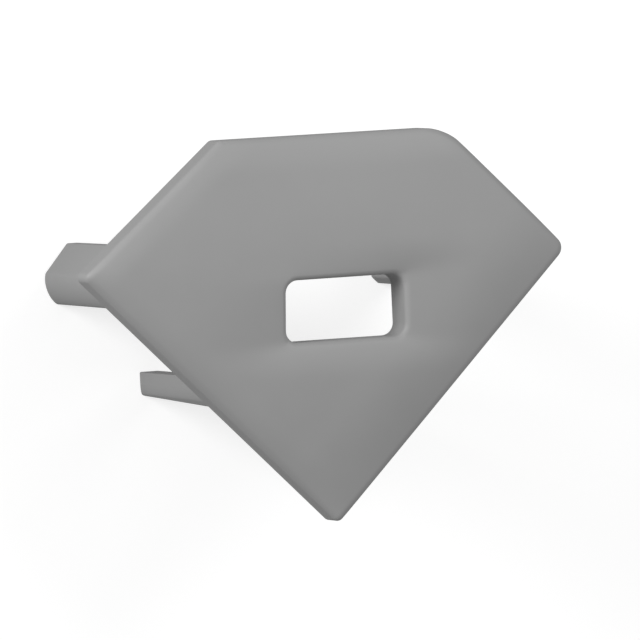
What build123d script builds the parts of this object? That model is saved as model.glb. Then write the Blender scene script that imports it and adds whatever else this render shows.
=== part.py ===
from build123d import *
import math
import os

# Profile end cap: one moulded piece that closes the end of a 16 mm corner profile.
# X runs along the cover edge, Y from the profile's corner towards its cover, Z out of
# the closed end. The origin is the centre of the 16 mm square, on the seat face.

os.makedirs("parts", exist_ok=True)

# Outline: a square set on its corner, with the corner over the cover cut off.
leg_length = 16.0
cover_reach = 5.53
plain_shoulder_reach = 4.75
round_shoulder_radius = 2.2
side_corner_radius = 0.5
crisp_corner_radius = 0.2

# Plate: flat seat behind, crowned front with a soft border and a rounded rim.
rim_height = 1.5
crown_height = 0.35
border_width = 1.7
border_blend_radius = 4.0
rim_radius = 0.3

# Cable outlet through the plate.
outlet_width = 5.6
outlet_height = 2.7
outlet_centre_x = 0.6
outlet_above_lower_prongs = 1.46
outlet_corner_radius = 0.55
outlet_lip_radius = 0.5

# Prongs: straight fingers behind the seat that press into the hollow of the profile.
prong_length = 10.5
prong_draft = 0.25
prong_root_radius = 0.1

# Upper pair, six-sided: a slope under the shoulder and a bowed side along the leg.
upper_thickness = 1.6
upper_ridge_setback = 2.78
upper_top_setback = 3.86
upper_leg_gap = 1.05
upper_top_level = 1.03
upper_ridge_level = -0.23
upper_foot_level = -1.62
upper_side_bow = 0.09
upper_foot_radius = 0.22
upper_inner_chamfer = 0.3

# Lower pair: narrow blades, sloped to keep one gap to the leg, deeper at the plate.
lower_thickness = 0.92
lower_outer_reach = 4.32
lower_side_height = 0.93
lower_tip_slope_height = 0.13
lower_root_slope_height = 0.55
lower_leg_gap = 0.88

half_diagonal = leg_length / math.sqrt(2)
plate_thickness = rim_height + crown_height
tip_plane = Plane.XY.offset(-prong_length)
level_tolerance = 0.01

# Reach of the line inside each leg that a pair of prongs keeps to, at the origin's level.
upper_leg_line = half_diagonal - upper_leg_gap * math.sqrt(2)
lower_leg_line = half_diagonal - lower_leg_gap * math.sqrt(2)

lower_slope_level = lower_outer_reach - lower_leg_line
lower_top_level = lower_slope_level + lower_side_height
outlet_centre_y = lower_top_level + outlet_above_lower_prongs + outlet_height / 2


def near(shape, point):
    """Corner of a flat shape nearest to a point."""
    return shape.vertices().sort_by_distance((*point, 0))[0]


def at_level(items, level):
    """Faces or edges that lie at one height."""
    return items.filter_by_position(Axis.Z, level - level_tolerance, level + level_tolerance)


def outline(corner, side, left, plain_shoulder):
    """Plate outline; the round shoulder is always rounded, 0 leaves a corner sharp."""
    round_shoulder = (half_diagonal - cover_reach, cover_reach)
    radii = {
        (0, -half_diagonal): corner,
        (half_diagonal, 0): side,
        round_shoulder: round_shoulder_radius,
        (-plain_shoulder_reach, cover_reach): plain_shoulder,
        (-half_diagonal, 0): left,
    }
    shape = Polygon(*radii, align=None)
    for point, radius in radii.items():
        if radius > 0:
            shape = fillet(near(shape, point), radius)
    return shape


def crowned_plate():
    """Plate with a soft front border and rounded rim, trimmed to the rounded outline."""
    blank = extrude(outline(0, 0, 0, 0), plate_thickness)
    front = blank.faces().sort_by(Axis.Z)[-1]
    blank = chamfer(front.edges(), length=border_width, length2=crown_height, reference=front)
    blank = fillet(blank.faces().sort_by(Axis.Z)[-1].edges(), border_blend_radius)
    blank = fillet(at_level(blank.edges(), rim_height), rim_radius)
    trim = outline(
        corner=crisp_corner_radius,
        side=side_corner_radius,
        left=crisp_corner_radius,
        plain_shoulder=crisp_corner_radius,
    )
    return blank & extrude(trim, plate_thickness)


def upper_prong():
    """Left upper prong, drawn at its tip and widening a little to the plate."""
    ridge_reach = half_diagonal - upper_ridge_setback
    ridge = (-ridge_reach, upper_ridge_level)
    foot = (-upper_leg_line - upper_foot_level, upper_foot_level)
    inner_foot = (upper_thickness - ridge_reach, upper_foot_level)
    inner_top = (upper_thickness - ridge_reach, upper_top_level)
    outer_top = (upper_top_setback - half_diagonal, upper_top_level)
    sides = Polyline(foot, inner_foot, inner_top, outer_top, ridge)
    bowed_side = SagittaArc(foot, ridge, upper_side_bow)
    section = make_face(sides.edges() + bowed_side.edges())
    section = fillet(near(section, foot), upper_foot_radius)
    section = chamfer(near(section, inner_foot), upper_inner_chamfer)
    return extrude(tip_plane * section, prong_length, taper=-prong_draft)


def lower_prong():
    """Left lower blade: a tapering side view, trimmed along the leg."""
    side_view = Plane.YZ * Polygon(
        (lower_top_level, 0),
        (lower_top_level, -prong_length),
        (lower_slope_level - lower_tip_slope_height, -prong_length),
        (lower_slope_level - lower_root_slope_height, 0),
        align=None,
    )
    inner_side = Pos(lower_thickness - lower_outer_reach, 0, 0)
    blade = inner_side * extrude(side_view, amount=lower_thickness, dir=(-1, 0, 0))
    inside_legs = RegularPolygon(lower_leg_line, 4)
    return blade & extrude(tip_plane * inside_legs, prong_length)


def end_cap():
    """Whole cap: plate, four prongs and the cable outlet."""
    cap = crowned_plate()
    for prong in (upper_prong(), lower_prong()):
        cap += prong
        cap += mirror(prong, Plane.YZ)
    seat = at_level(cap.faces(), 0).sort_by(SortBy.AREA)[-1]
    roots = [edge for wire in seat.inner_wires() for edge in wire.edges()]
    cap = fillet(roots, prong_root_radius)
    opening = RectangleRounded(outlet_width, outlet_height, outlet_corner_radius)
    opening = Pos(outlet_centre_x, outlet_centre_y, 0) * opening
    cap -= extrude(opening, plate_thickness)
    lip = cap.faces().sort_by(Axis.Z)[-1].inner_wires()[0].edges()
    return fillet(lip, outlet_lip_radius)


cap = end_cap()
cap.label = "end_cap"
export_step(cap, "parts/end_cap.step")
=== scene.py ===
"""Moulded end cap for a 16 mm corner profile: the moulding, its plastic and a soft studio."""

import math

import bmesh
import bpy
from bpy.props import FloatProperty, FloatVectorProperty, PointerProperty
from mathutils import Euler, Matrix, Vector


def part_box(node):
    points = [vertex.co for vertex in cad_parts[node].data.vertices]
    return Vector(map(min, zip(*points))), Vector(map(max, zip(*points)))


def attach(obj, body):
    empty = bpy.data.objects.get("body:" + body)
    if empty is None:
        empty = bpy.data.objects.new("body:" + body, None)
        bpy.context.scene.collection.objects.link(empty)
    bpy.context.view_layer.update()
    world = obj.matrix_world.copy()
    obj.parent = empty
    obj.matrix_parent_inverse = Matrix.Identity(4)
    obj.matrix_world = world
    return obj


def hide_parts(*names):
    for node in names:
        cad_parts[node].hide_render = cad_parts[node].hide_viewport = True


bl_info = {
    "name": "Profile End Cap",
    "version": (1, 0, 0),
    "blender": (4, 5, 0),
    "location": "3D View > Sidebar > End Cap",
    "description": "Builds a moulded end cap for a corner profile, with a soft studio",
    "category": "Object",
}

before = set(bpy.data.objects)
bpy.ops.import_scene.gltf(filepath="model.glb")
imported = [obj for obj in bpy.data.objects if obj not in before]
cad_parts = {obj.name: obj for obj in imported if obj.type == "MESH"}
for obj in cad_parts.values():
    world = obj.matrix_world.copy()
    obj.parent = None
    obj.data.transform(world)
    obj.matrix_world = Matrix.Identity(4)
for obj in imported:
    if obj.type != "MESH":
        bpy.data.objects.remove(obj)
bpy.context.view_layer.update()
CAP_LOW, CAP_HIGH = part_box("end_cap")
MM = 0.001
SAME_PLACE = 1e-7  # two points or levels closer than this, in metres, count as one
CRISP_ANGLE = math.radians(25)  # a prong's edges that turn more than this are rounded
SHARP_ANGLE = math.radians(32)  # edges that turn more than this are shaded sharp
KNEE_SHARE = 0.88  # part of an upper prong's outer side that its bend takes up
ROOT_SHARE = 0.9  # edges that lie above this part of the root's sink stay crisp
FLOOR_GAP = 0.01 * MM  # keeps the floor clear of the prongs' tips


def length(name, description, default_mm, low=0.0, high=0.1):
    """A length property, stored in metres."""
    return FloatProperty(
        name=name,
        description=description,
        default=default_mm * MM,
        min=low,
        max=high,
        precision=6,
        subtype="DISTANCE",
        unit="LENGTH",
    )


def lamp_place(name, default):
    """Where a lamp stands; it always looks at the middle of the seat."""
    return FloatVectorProperty(
        name=name,
        description="Where the lamp stands",
        default=default,
        subtype="TRANSLATION",
        unit="LENGTH",
    )


def lamp_power(name, default):
    """Power of a lamp."""
    return FloatProperty(
        name=name,
        description="Power of the lamp",
        default=default,
        min=0.0,
        precision=4,
        unit="POWER",
    )


class PlateSizes(bpy.types.PropertyGroup):
    """Outline, crown and rounded edges of the plate."""

    leg: length("Leg", "Length of each leg of the profile", 16.0)
    cover_reach: length("Cover reach", "From the square's centre to the cover edge", 5.53)
    plain_shoulder: length("Plain shoulder", "From the middle to the crisp shoulder", 4.78)
    round_shoulder: length("Round shoulder", "Radius of the rounded shoulder", 2.2)
    side_corner: length("Side corner", "Radius of the corner beside the round shoulder", 0.5)
    crisp_corner: length("Crisp corner", "Radius of the corners of the left leg", 0.3)
    rim_radius: length("Rim radius", "Rounding between the front and the side walls", 0.29)
    back_break: length("Back edge", "Small rounding of the edge round the seat", 0.04)
    cell: length("Cell", "Size of the front's mesh cells", 0.22)


class CrownBorders(bpy.types.PropertyGroup):
    """How far in from each edge the front starts to fall, and how far it falls there."""

    dome_reach: length("Dome reach", "How far in the gentle dome of the whole front starts", 6.5)
    dome_fall: length("Dome fall", "Fall of the gentle dome at the rim", 0.35)
    cover: length("Cover border", "Border along the cover edge", 1.5)
    cover_fall: length("Cover fall", "Fall at the cover edge", 0.2)
    plain_shoulder: length("Plain shoulder border", "Border along the crisp shoulder", 1.2)
    plain_shoulder_fall: length("Plain shoulder fall", "Fall at the crisp shoulder", 0.2)
    round_shoulder: length("Round shoulder border", "Border along the rounded shoulder", 0.9)
    round_shoulder_fall: length("Round shoulder fall", "Fall at the rounded shoulder", 0.12)
    left_leg: length("Left leg border", "Border along the left leg", 1.2)
    left_leg_fall: length("Left leg fall", "Fall at the left leg", 0.4)
    right_leg: length("Right leg border", "Border along the right leg", 3.2)
    right_leg_fall: length("Right leg fall", "Fall at the right leg", 0.32)
    tip: length("Tip border", "Border at the tip between the legs", 5.0)
    tip_fall: length("Tip fall", "Fall at that tip", 0.2)


class OutletSizes(bpy.types.PropertyGroup):
    """Rectangular cable outlet through the plate."""

    width: length("Width", "Width between the side walls", 5.6)
    height: length("Height", "Height between the lower and upper walls", 2.7)
    offset_x: length("Offset X", "Centre of the outlet from the square's centre", 0.6, low=-0.1)
    offset_y: length("Offset Y", "Centre of the outlet from the square's centre", -2.01, low=-0.1)
    corner: length("Corner radius", "Radius of the wall at its corners", 0.55)
    lip: length("Lip radius", "Rounding between the front and the walls", 0.25)
    dish_depth: length("Dish depth", "How far the front sinks right of and below the outlet", 0.26)
    dish_width: length("Dish width", "How far the dish reaches sideways over the front", 5.0)
    dish_height: length("Dish height", "How far the dish reaches above and below the outlet", 1.6)


class ProngSizes(bpy.types.PropertyGroup):
    """Four straight prongs behind the seat."""

    reach: length("Length", "From the seat to the tips", 10.5)
    edge: length("Edge rounding", "Rounding of the long edges and the tips", 0.06)
    root_sink: length("Root sink", "How far each root runs into the plate", 0.5)
    draft: FloatProperty(
        name="Draft",
        description="Taper of each face of the upper prongs",
        default=math.radians(0.25),
        subtype="ANGLE",
        unit="ROTATION",
    )
    upper_thickness: length("Upper thickness", "Across an upper prong", 1.6)
    upper_ridge: length("Upper ridge", "From the side corner in to the ridge", 2.78)
    upper_top_edge: length("Upper top edge", "From the side corner in to the top edge", 3.86)
    upper_leg_gap: length("Upper leg gap", "From the leg's face to the prong's foot", 1.05)
    upper_top_level: length("Upper top level", "Top of an upper prong", 1.03, low=-0.1)
    upper_ridge_level: length("Upper ridge level", "Ridge of an upper prong", -0.23, low=-0.1)
    upper_foot_level: length("Upper foot level", "Foot of an upper prong", -1.62, low=-0.1)
    upper_turn: FloatProperty(
        name="Upper turn",
        description="How far the outer side turns between the ridge and the foot",
        default=math.radians(60),
        subtype="ANGLE",
        unit="ROTATION",
    )
    upper_foot_setback: length("Upper foot setback", "How far the rounded foot is drawn in", 0.16)
    upper_foot_softness: length("Upper foot softness", "Rounding of the outer foot", 0.08)
    upper_inner_chamfer: length("Upper inner chamfer", "Chamfer of the inner foot", 0.3)
    lower_thickness: length("Lower thickness", "Across a lower blade", 0.92)
    lower_reach: length("Lower reach", "From the middle to a blade's outer side", 4.32)
    lower_side: length("Lower side", "Height of a blade's outer side", 0.93)
    lower_tip_slope: length("Lower tip slope", "Height of the sloped side at the tip", 0.13)
    lower_root_slope: length("Lower root slope", "Height of the sloped side at the plate", 0.55)
    lower_leg_gap: length("Lower leg gap", "From the leg's face to the sloped side", 0.88)
    lower_softness: FloatProperty(
        name="Lower softness",
        description="Share of a blade's outer side that rounds into the sloped side",
        default=45.0,
        min=0.0,
        max=49.0,
        subtype="PERCENTAGE",
    )


class PlasticLook(bpy.types.PropertyGroup):
    """Grey moulded plastic."""

    base: FloatVectorProperty(
        name="Base colour",
        description="Grey of the moulding",
        subtype="COLOR",
        size=3,
        default=(0.30, 0.30, 0.30),
        min=0.0,
        max=1.0,
    )
    cloud: FloatProperty(
        name="Cloudiness",
        description="Strength of the pale and dark clouds in the plastic",
        default=0.05,
        min=0.0,
        max=1.0,
        subtype="FACTOR",
    )
    roughness: FloatProperty(
        name="Roughness",
        description="Roughness of the moulded skin",
        default=0.55,
        min=0.0,
        max=1.0,
        subtype="FACTOR",
    )
    grain: length("Grain", "Size of the fine grain that the mould leaves", 0.12)
    grain_height: length("Grain height", "Height of that grain", 0.004)


class StudioSettings(bpy.types.PropertyGroup):
    """Camera, lamps and floor."""

    lens: FloatProperty(
        name="Lens",
        description="Focal length in millimetres on a 36 mm wide sensor",
        default=675.0,
        min=1.0,
    )
    camera_place: FloatVectorProperty(
        name="Camera place",
        description="Where the camera stands",
        subtype="TRANSLATION",
        unit="LENGTH",
        default=(-0.199626, 0.023038, 0.478262),
    )
    camera_turn: FloatVectorProperty(
        name="Camera turn",
        description="How the camera is turned",
        subtype="EULER",
        unit="ROTATION",
        default=tuple(math.radians(angle) for angle in (-1.6958, -22.7629, -2.9192)),
    )
    top_place: lamp_place("Top lamp", (0.0364, 0.0364, 0.0613))
    top_size: length("Top lamp size", "Diameter of the top lamp", 40.0, high=1.0)
    top_power: lamp_power("Top lamp power", 0.0219)
    left_place: lamp_place("Left lamp", (-0.1385, 0.056, 0.0573))
    left_size: length("Left lamp size", "Diameter of the left lamp", 70.0, high=1.0)
    left_power: lamp_power("Left lamp power", 0.19)
    world_light: FloatProperty(
        name="World light",
        description="Strength of the soft light all round",
        default=0.42,
        min=0.0,
    )
    floor_grey: FloatProperty(
        name="Floor grey",
        description="How much light the floor throws back",
        default=0.42,
        min=0.0,
        max=1.0,
        subtype="FACTOR",
    )
    floor_glow: FloatProperty(
        name="Floor glow",
        description="Lift of the floor towards white, for the camera only",
        default=0.7,
        min=0.0,
        max=1.0,
        subtype="FACTOR",
    )
    floor_size: length("Floor", "Side of the floor", 3000.0, high=10.0)


def bevel(bm, edges, width, segments, clamp=True, kind="OFFSET"):
    """Round the given edges; width is the rounding's reach over each face, or a percentage."""
    return bmesh.ops.bevel(
        bm,
        geom=list(edges),
        offset=width,
        offset_type=kind,
        segments=segments,
        profile=0.5,
        affect="EDGES",
        clamp_overlap=clamp,
        material=-1,
    )


def prism(points, low, high):
    """Closed prism over a flat outline, between two heights."""
    bm = bmesh.new()
    base = bm.faces.new([bm.verts.new((x, y, low)) for x, y in points])
    raised = bmesh.ops.extrude_face_region(bm, geom=[base], use_keep_orig=True)
    tops = [v for v in raised["geom"] if isinstance(v, bmesh.types.BMVert)]
    bmesh.ops.translate(bm, verts=tops, vec=(0.0, 0.0, high - low))
    bmesh.ops.recalc_face_normals(bm, faces=bm.faces)
    return bm


def flat_faces(bm, level, tolerance=1e-6):
    """Faces that lie wholly at one height."""
    return [f for f in bm.faces if all(abs(v.co.z - level) < tolerance for v in f.verts)]


def cut(bm, faces, point, normal):
    """Cut the given faces with a plane and leave both sides."""
    edges = {e for f in faces for e in f.edges}
    verts = {v for f in faces for v in f.verts}
    bmesh.ops.bisect_plane(
        bm,
        geom=[*verts, *edges, *faces],
        dist=SAME_PLACE,
        plane_co=point,
        plane_no=normal,
        clear_inner=False,
        clear_outer=False,
    )


def upright_edge(bm, x, y):
    """The upright edge nearest to a corner of the outline."""
    upright = [e for e in bm.edges if (e.verts[0].co - e.verts[1].co).xy.length < SAME_PLACE]
    return min(upright, key=lambda e: (e.verts[0].co.xy - Vector((x, y))).length)


def round_corner(bm, corner, radius, segments):
    """Round one upright edge to a true radius."""
    edge = upright_edge(bm, *corner)
    turn = abs(edge.calc_face_angle_signed())
    bevel(bm, [edge], radius * math.tan(turn / 2), segments)


def ease(distance, border):
    """0 on an edge, 1 from the end of its border on, with no kink between."""
    t = min(max(distance / border, 0.0), 1.0)
    return 1.0 - (1.0 - t) ** 2


class Crown:
    """Soft shape of the moulded front: its falling borders, its dome and the dish."""

    def __init__(self, plate, borders, outlet):
        half = plate.leg / math.sqrt(2)
        slope = Vector((plate.cover_reach, half - plate.plain_shoulder)).normalized()
        self.front = CAP_HIGH.z
        self.dome_reach, self.dome_fall = borders.dome_reach, borders.dome_fall
        self.edges = [
            (Vector((0.0, 1.0)), plate.cover_reach, borders.cover, borders.cover_fall),
            (
                Vector((-slope.x, slope.y)),
                half * slope.x,
                borders.plain_shoulder,
                borders.plain_shoulder_fall,
            ),
            (
                Vector((1.0, 1.0)).normalized(),
                half / math.sqrt(2),
                borders.round_shoulder,
                borders.round_shoulder_fall,
            ),
            (
                Vector((-1.0, -1.0)).normalized(),
                half / math.sqrt(2),
                borders.left_leg,
                borders.left_leg_fall,
            ),
            (
                Vector((1.0, -1.0)).normalized(),
                half / math.sqrt(2),
                borders.right_leg,
                borders.right_leg_fall,
            ),
            (Vector((0.0, -1.0)), half, borders.tip, borders.tip_fall),
        ]
        self.deepest = max(edge[3] for edge in self.edges)
        self.outlet = outlet

    def dish(self, x, y):
        """How far the front sinks towards the outlet; least at the upper left corner."""
        outlet = self.outlet
        away_x, away_y = x - outlet.offset_x, y - outlet.offset_y
        sideways = max(abs(away_x) - outlet.width / 2, 0.0) / outlet.dish_width
        upward = max(abs(away_y) - outlet.height / 2, 0.0) / outlet.dish_height
        leftness = min(max(0.5 - away_x / outlet.width, 0.0), 1.0)
        upness = min(max(0.5 + away_y / outlet.height, 0.0), 1.0)
        depth = outlet.dish_depth * (1.0 - leftness * upness)
        return depth * (1.0 - ease(math.hypot(sideways, upward), 1.0))

    def fall(self, x, y):
        """How far the front lies below its highest level."""
        rise = dome = 1.0
        for normal, reach, border, depth in self.edges:
            inside = reach - normal.dot(Vector((x, y)))
            rise *= 1.0 - (1.0 - ease(inside, border)) * depth / self.deepest
            dome *= ease(inside, self.dome_reach)
        return self.deepest * (1.0 - rise) + self.dome_fall * (1.0 - dome) + self.dish(x, y)

    def shaped(self, point):
        """Where a point of the flat plate ends up."""
        x, y, z = point
        return Vector((x, y, z - self.fall(x, y) * z / self.front))


def plate_mesh(plate, borders, outlet):
    """The plate: rounded outline, lipped outlet and crowned front."""
    half = plate.leg / math.sqrt(2)
    cover = plate.cover_reach
    tip = (0.0, -half)
    right = (half, 0.0)
    round_shoulder = (half - cover, cover)
    plain_shoulder = (-plate.plain_shoulder, cover)
    left = (-half, 0.0)
    front = CAP_HIGH.z
    bm = prism([tip, right, round_shoulder, plain_shoulder, left], 0.0, front)

    # The outlet: cuts across the front and the seat, then its walls between them.
    x_sides = [outlet.offset_x + side * outlet.width / 2 for side in (-1, 1)]
    y_sides = [outlet.offset_y + side * outlet.height / 2 for side in (-1, 1)]
    middle = Vector((outlet.offset_x, outlet.offset_y))

    def outside(point):
        """How far a point lies beyond the outlet's walls; negative inside them."""
        away = point.xy - middle
        return max(abs(away.x) - outlet.width / 2, abs(away.y) - outlet.height / 2)

    for level in (0.0, front):
        for x in (x_sides[0], middle.x, x_sides[1]):
            cut(bm, flat_faces(bm, level), (x, 0.0, level), (1.0, 0.0, 0.0))
        for y in y_sides:
            cut(bm, flat_faces(bm, level), (0.0, y, level), (0.0, 1.0, 0.0))
        plug = [f for f in flat_faces(bm, level) if outside(f.calc_center_median()) < 0.0]
        bmesh.ops.delete(bm, geom=plug, context="FACES")
        spare = [
            e
            for e in bm.edges
            if len(e.link_faces) == 2
            and all(abs(v.co.z - level) < SAME_PLACE for v in e.verts)
            and all(abs(f.normal.z) > 0.5 for f in e.link_faces)
            and any(abs(v.co.x - middle.x) > 1e-6 for v in e.verts)
        ]
        bmesh.ops.dissolve_edges(bm, edges=spare, use_verts=False)
        idle = [v for v in bm.verts if len(v.link_edges) == 2 and outside(v.co) > outlet.corner]
        bmesh.ops.dissolve_verts(bm, verts=idle)
    mouths = [e for e in bm.edges if len(e.link_faces) == 1]
    bmesh.ops.bridge_loops(bm, edges=mouths)
    bmesh.ops.recalc_face_normals(bm, faces=bm.faces)

    # Upright corners.
    round_corner(bm, round_shoulder, plate.round_shoulder, 18)
    round_corner(bm, right, plate.side_corner, 8)
    for corner in (tip, left, plain_shoulder):
        round_corner(bm, corner, plate.crisp_corner, 6)
    for x in x_sides:
        for y in y_sides:
            round_corner(bm, (x, y), outlet.corner, 8)

    def border_edges(level, inside):
        """Edges between the flat at one level and the walls, of the outlet or the outline."""
        return [
            e
            for e in bm.edges
            if len(e.link_faces) == 2
            and all(abs(v.co.z - level) < SAME_PLACE for v in e.verts)
            and abs(abs(e.link_faces[0].normal.z) - abs(e.link_faces[1].normal.z)) > 0.5
            and (outside(e.verts[0].co) < outlet.corner) == inside
        ]

    bevel(bm, border_edges(front, False), plate.rim_radius, 8, clamp=False)
    bevel(bm, border_edges(front, True), outlet.lip, 8, clamp=False)
    bevel(bm, border_edges(0.0, False), plate.back_break, 2, clamp=False)
    bevel(bm, border_edges(0.0, True), plate.back_break, 2, clamp=False)

    # Fine cells over the front, so that it can carry the crown.
    for axis, normal in ((0, (1.0, 0.0, 0.0)), (1, (0.0, 1.0, 0.0))):
        low, high = CAP_LOW[axis], CAP_HIGH[axis]
        for step in range(1, int((high - low) / plate.cell) + 1):
            point = Vector((0.0, 0.0, front))
            point[axis] = low + step * plate.cell
            near = [
                f
                for f in bm.faces
                if f.normal.z > 0.01
                and min(v.co[axis] for v in f.verts) < point[axis]
                and max(v.co[axis] for v in f.verts) > point[axis]
            ]
            if near:
                cut(bm, near, point, normal)
    bmesh.ops.dissolve_degenerate(bm, dist=1e-6, edges=bm.edges)

    # The crown, stretched so that its top is at the level of the front.
    crown = Crown(plate, borders, outlet)
    for v in bm.verts:
        v.co = crown.shaped(v.co)
    lift = front / max(v.co.z for v in bm.verts)
    bmesh.ops.scale(bm, vec=(1.0, 1.0, lift), verts=bm.verts)
    return bm


def round_long_edges(bm, sizes):
    """Small rounding on every crisp edge of a prong, apart from its hidden root."""
    bm.normal_update()
    crisp = [
        e
        for e in bm.edges
        if e.calc_face_angle() > CRISP_ANGLE
        and min(v.co.z for v in e.verts) < sizes.root_sink * ROOT_SHARE
    ]
    bevel(bm, crisp, sizes.edge, 2)


def upper_prong(plate, sizes):
    """Left upper prong: a slope under the shoulder and a side that rounds into the foot."""
    half = plate.leg / math.sqrt(2)
    leg_line = half - sizes.upper_leg_gap * math.sqrt(2)
    ridge = Vector((sizes.upper_ridge - half, sizes.upper_ridge_level))
    foot = Vector((-leg_line - sizes.upper_foot_level, sizes.upper_foot_level))
    foot.x += sizes.upper_foot_setback
    inner = ridge.x + sizes.upper_thickness
    half_side = (foot - ridge) / 2
    outward = Vector((half_side.y, -half_side.x)) * math.tan(sizes.upper_turn / 2)
    knee = ridge + half_side + outward
    bend = half_side.length / math.cos(sizes.upper_turn / 2) * KNEE_SHARE
    section = [
        foot,
        (inner, sizes.upper_foot_level),
        (inner, sizes.upper_top_level),
        (sizes.upper_top_edge - half, sizes.upper_top_level),
        ridge,
        knee,
    ]
    bm = prism(section, -sizes.reach, sizes.root_sink)
    middle_level = (sizes.upper_top_level + sizes.upper_foot_level) / 2
    middle = Vector(((ridge.x + inner) / 2, middle_level, 0.0))
    widening = sizes.reach * math.tan(sizes.draft)
    roots = [v for v in bm.verts if v.co.z > 0.0]
    growth = (
        1.0 + 2.0 * widening / sizes.upper_thickness,
        1.0 + 2.0 * widening / (sizes.upper_top_level - sizes.upper_foot_level),
        1.0,
    )
    bmesh.ops.scale(bm, vec=growth, verts=roots, space=Matrix.Translation(-middle))
    bevel(bm, [long_edge(bm, knee)], bend, 12)
    bevel(bm, [long_edge(bm, foot)], sizes.upper_foot_softness, 3)
    bevel(bm, [long_edge(bm, (inner, sizes.upper_foot_level))], sizes.upper_inner_chamfer, 1)
    round_long_edges(bm, sizes)
    return bm


def long_edge(bm, corner):
    """The edge from root to tip that starts nearest to a corner of the tip's section."""
    corner = Vector(corner)

    def tip_distance(edge):
        low = min(edge.verts, key=lambda v: v.co.z)
        return (low.co.xy - corner).length

    tall = [e for e in bm.edges if abs(e.verts[0].co.z - e.verts[1].co.z) > MM]
    return min(tall, key=tip_distance)


def lower_prong(plate, sizes):
    """Left lower blade: its sloped side keeps one gap to the leg and its foot deepens."""
    leg_line = plate.leg / math.sqrt(2) - sizes.lower_leg_gap * math.sqrt(2)
    outer = -sizes.lower_reach
    inner = outer + sizes.lower_thickness
    slope_level = sizes.lower_reach - leg_line
    tip_foot = slope_level - sizes.lower_tip_slope
    section = [
        (outer, slope_level),
        (outer + sizes.lower_tip_slope, tip_foot),
        (inner, tip_foot),
        (inner, slope_level + sizes.lower_side),
        (outer, slope_level + sizes.lower_side),
    ]
    bm = prism(section, -sizes.reach, sizes.root_sink)
    deepening = sizes.lower_root_slope - sizes.lower_tip_slope
    deepening *= (sizes.reach + sizes.root_sink) / sizes.reach
    for v in bm.verts:
        if v.co.z > 0.0 and abs(v.co.y - tip_foot) < SAME_PLACE:
            v.co.y -= deepening
            if v.co.x < inner - SAME_PLACE:
                v.co.x += deepening
    side = long_edge(bm, (outer, slope_level))
    bevel(bm, [side], sizes.lower_softness, 8, kind="PERCENT")
    round_long_edges(bm, sizes)
    return bm


def add_pair(target, prong):
    """Add a left-hand prong and its mirror image to the moulding."""
    bmesh.ops.mirror(
        prong,
        geom=[*prong.verts, *prong.edges, *prong.faces],
        matrix=Matrix.Identity(4),
        merge_dist=0.0,
        axis="X",
    )
    bmesh.ops.recalc_face_normals(prong, faces=prong.faces)
    loose = bpy.data.meshes.new("prong_pair")
    prong.to_mesh(loose)
    prong.free()
    target.from_mesh(loose)
    bpy.data.meshes.remove(loose)


class NodeTree:
    """Short way to lay out a material's or world's nodes and join them."""

    def __init__(self, owner):
        owner.use_nodes = True
        self.tree = owner.node_tree
        self.tree.nodes.clear()
        self.column = 0

    def add(self, kind, inputs=None, **settings):
        """Add one node; an input is given as a number, a colour or another node's output."""
        node = self.tree.nodes.new(kind)
        node.location = (self.column * 190, 0)
        self.column += 1
        for key, value in settings.items():
            setattr(node, key, value)
        for key, value in (inputs or {}).items():
            if isinstance(value, bpy.types.NodeSocket):
                self.tree.links.new(value, node.inputs[key])
            else:
                node.inputs[key].default_value = value
        return node


def moulded_plastic(look):
    """Grey moulded plastic: faint clouds, uneven sheen and the fine grain of the mould."""
    material = bpy.data.materials.new("moulded_plastic")
    nodes = NodeTree(material)
    place = nodes.add("ShaderNodeTexCoord").outputs["Object"]
    clouds = nodes.add(
        "ShaderNodeTexNoise",
        {"Vector": place, "Scale": 260.0, "Detail": 3.0, "Roughness": 0.55},
    )
    grain = nodes.add(
        "ShaderNodeTexNoise",
        {"Vector": place, "Scale": 1.0 / look.grain, "Detail": 4.0, "Roughness": 0.6},
    )
    base = Vector(look.base)
    shade = nodes.add(
        "ShaderNodeMix",
        {
            "Factor": clouds.outputs["Fac"],
            "A": (*(base * (1.0 - look.cloud)), 1.0),
            "B": (*(base * (1.0 + look.cloud)), 1.0),
        },
        data_type="RGBA",
    )
    sheen = nodes.add(
        "ShaderNodeMapRange",
        {
            "Value": clouds.outputs["Fac"],
            "From Min": 0.3,
            "From Max": 0.7,
            "To Min": look.roughness - 0.05,
            "To Max": look.roughness + 0.05,
        },
    )
    bump = nodes.add(
        "ShaderNodeBump",
        {"Height": grain.outputs["Fac"], "Strength": 0.35, "Distance": look.grain_height},
    )
    surface = nodes.add(
        "ShaderNodeBsdfPrincipled",
        {"Roughness": sheen.outputs["Result"], "Normal": bump.outputs["Normal"]},
    )
    surface.inputs["IOR"].default_value = 1.46
    nodes.tree.links.new(shade.outputs["Result"], surface.inputs["Base Color"])
    nodes.add("ShaderNodeOutputMaterial", {"Surface": surface.outputs["BSDF"]})
    return material


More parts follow.
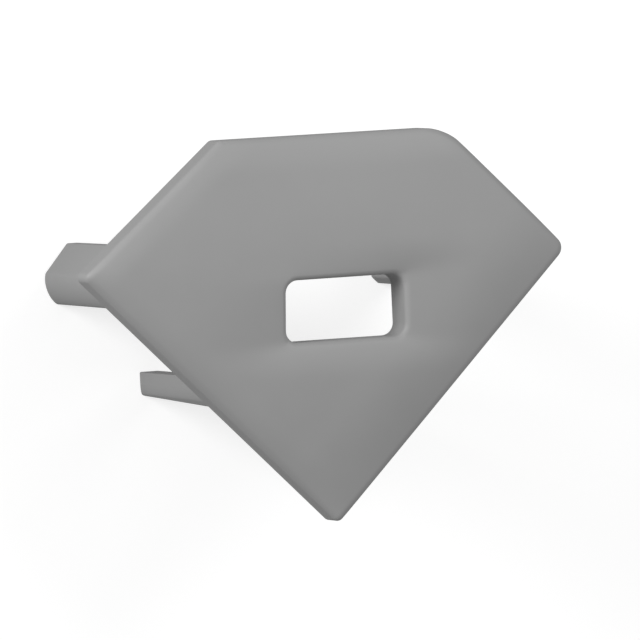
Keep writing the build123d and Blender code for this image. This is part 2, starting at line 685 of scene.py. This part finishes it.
def floor_surface(settings):
    """Pale matt floor that keeps the cap's shadow and is lifted towards white for the camera."""
    material = bpy.data.materials.new("pale_floor")
    nodes = NodeTree(material)
    seen = nodes.add("ShaderNodeLightPath").outputs["Is Camera Ray"]
    grey = (settings.floor_grey,) * 3
    matt = nodes.add("ShaderNodeBsdfDiffuse", {"Color": (*grey, 1.0)})
    glow = nodes.add(
        "ShaderNodeEmission",
        {"Color": (1.0, 1.0, 1.0, 1.0), "Strength": settings.floor_glow},
    )
    both = nodes.add("ShaderNodeAddShader")
    nodes.tree.links.new(matt.outputs["BSDF"], both.inputs[0])
    nodes.tree.links.new(glow.outputs["Emission"], both.inputs[1])
    pick = nodes.add("ShaderNodeMixShader", {"Fac": seen})
    nodes.tree.links.new(matt.outputs["BSDF"], pick.inputs[1])
    nodes.tree.links.new(both.outputs["Shader"], pick.inputs[2])
    nodes.add("ShaderNodeOutputMaterial", {"Surface": pick.outputs["Shader"]})
    return material


class ENDCAP_OT_moulding(bpy.types.Operator):
    """Build the one-piece end cap: plate, outlet, prongs and plastic"""

    bl_idname = "end_cap.moulding"
    bl_label = "End Cap Moulding"
    bl_options = {"REGISTER", "UNDO"}

    def execute(self, context):
        scene = context.scene
        plate, prongs = scene.cap_plate, scene.cap_prongs
        bm = plate_mesh(plate, scene.cap_borders, scene.cap_outlet)
        add_pair(bm, upper_prong(plate, prongs))
        add_pair(bm, lower_prong(plate, prongs))
        mesh = bpy.data.meshes.new("end_cap_moulding")
        bm.to_mesh(mesh)
        bm.free()
        mesh.shade_smooth()
        mesh.set_sharp_from_angle(angle=SHARP_ANGLE)
        cap = bpy.data.objects.new("end_cap_moulding", mesh)
        scene.collection.objects.link(cap)
        even = cap.modifiers.new("even_normals", "WEIGHTED_NORMAL")
        even.keep_sharp = True
        mesh.materials.append(moulded_plastic(scene.cap_plastic))
        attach(cap, "root")
        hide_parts("end_cap")
        return {"FINISHED"}


class ENDCAP_OT_studio(bpy.types.Operator):
    """Add the pale floor, the soft lamps and the camera"""

    bl_idname = "end_cap.studio"
    bl_label = "End Cap Studio"
    bl_options = {"REGISTER", "UNDO"}

    def execute(self, context):
        scene = context.scene
        settings = scene.cap_studio
        bm = bmesh.new()
        bmesh.ops.create_grid(bm, x_segments=1, y_segments=1, size=settings.floor_size / 2)
        bmesh.ops.translate(bm, verts=bm.verts, vec=(0.0, 0.0, CAP_LOW.z - FLOOR_GAP))
        mesh = bpy.data.meshes.new("floor")
        bm.to_mesh(mesh)
        bm.free()
        mesh.materials.append(floor_surface(settings))
        floor = bpy.data.objects.new("floor", mesh)
        scene.collection.objects.link(floor)

        world = bpy.data.worlds.new("studio")
        scene.world = world
        nodes = NodeTree(world)
        seen = nodes.add("ShaderNodeLightPath").outputs["Is Camera Ray"]
        strength = nodes.add(
            "ShaderNodeMapRange",
            {"Value": seen, "To Min": settings.world_light, "To Max": 1.0},
        )
        light = nodes.add(
            "ShaderNodeBackground",
            {"Color": (1.0, 1.0, 1.0, 1.0), "Strength": strength.outputs["Result"]},
        )
        nodes.add("ShaderNodeOutputWorld", {"Surface": light.outputs["Background"]})

        for name in ("top", "left"):
            lamp = bpy.data.lights.new(f"{name}_lamp", "AREA")
            lamp.shape = "DISK"
            lamp.size = getattr(settings, f"{name}_size")
            lamp.energy = getattr(settings, f"{name}_power")
            holder = bpy.data.objects.new(f"{name}_lamp", lamp)
            holder.location = getattr(settings, f"{name}_place")
            holder.rotation_euler = (-holder.location).to_track_quat("-Z", "Y").to_euler()
            holder.visible_camera = False
            scene.collection.objects.link(holder)

        view = bpy.data.cameras.new("camera")
        view.lens = settings.lens
        view.sensor_width = 36.0
        view.clip_start = 0.01
        view.clip_end = 20.0
        camera = bpy.data.objects.new("camera", view)
        camera.location = settings.camera_place
        camera.rotation_euler = Euler(settings.camera_turn)
        scene.collection.objects.link(camera)
        scene.camera = camera
        scene.view_settings.view_transform = "Standard"
        return {"FINISHED"}


class ENDCAP_PT_panel(bpy.types.Panel):
    """Sizes and builders of the end cap"""

    bl_label = "Profile End Cap"
    bl_idname = "ENDCAP_PT_panel"
    bl_space_type = "VIEW_3D"
    bl_region_type = "UI"
    bl_category = "End Cap"

    def draw(self, context):
        layout = self.layout
        for name, (group, title) in GROUPS.items():
            settings = getattr(context.scene, name)
            box = layout.box()
            box.label(text=title)
            for key in group.__annotations__:
                box.prop(settings, key)
        layout.operator(ENDCAP_OT_moulding.bl_idname)
        layout.operator(ENDCAP_OT_studio.bl_idname)


GROUPS = {
    "cap_plate": (PlateSizes, "Plate"),
    "cap_borders": (CrownBorders, "Crown borders"),
    "cap_outlet": (OutletSizes, "Cable outlet"),
    "cap_prongs": (ProngSizes, "Prongs"),
    "cap_plastic": (PlasticLook, "Plastic"),
    "cap_studio": (StudioSettings, "Studio"),
}
CLASSES = (ENDCAP_OT_moulding, ENDCAP_OT_studio, ENDCAP_PT_panel)


def register():
    """Make the sizes, the operators and the panel known to Blender."""
    for name, (group, title) in GROUPS.items():
        bpy.utils.register_class(group)
        setattr(bpy.types.Scene, name, PointerProperty(type=group, name=title))
    for cls in CLASSES:
        bpy.utils.register_class(cls)


def unregister():
    """Take them out again, last one first."""
    for cls in reversed(CLASSES):
        bpy.utils.unregister_class(cls)
    for name, (group, _title) in reversed(GROUPS.items()):
        delattr(bpy.types.Scene, name)
        bpy.utils.unregister_class(group)


def main():
    """Build the cap and its studio."""
    register()
    bpy.ops.end_cap.moulding()
    bpy.ops.end_cap.studio()


if __name__ == "__main__":
    main()
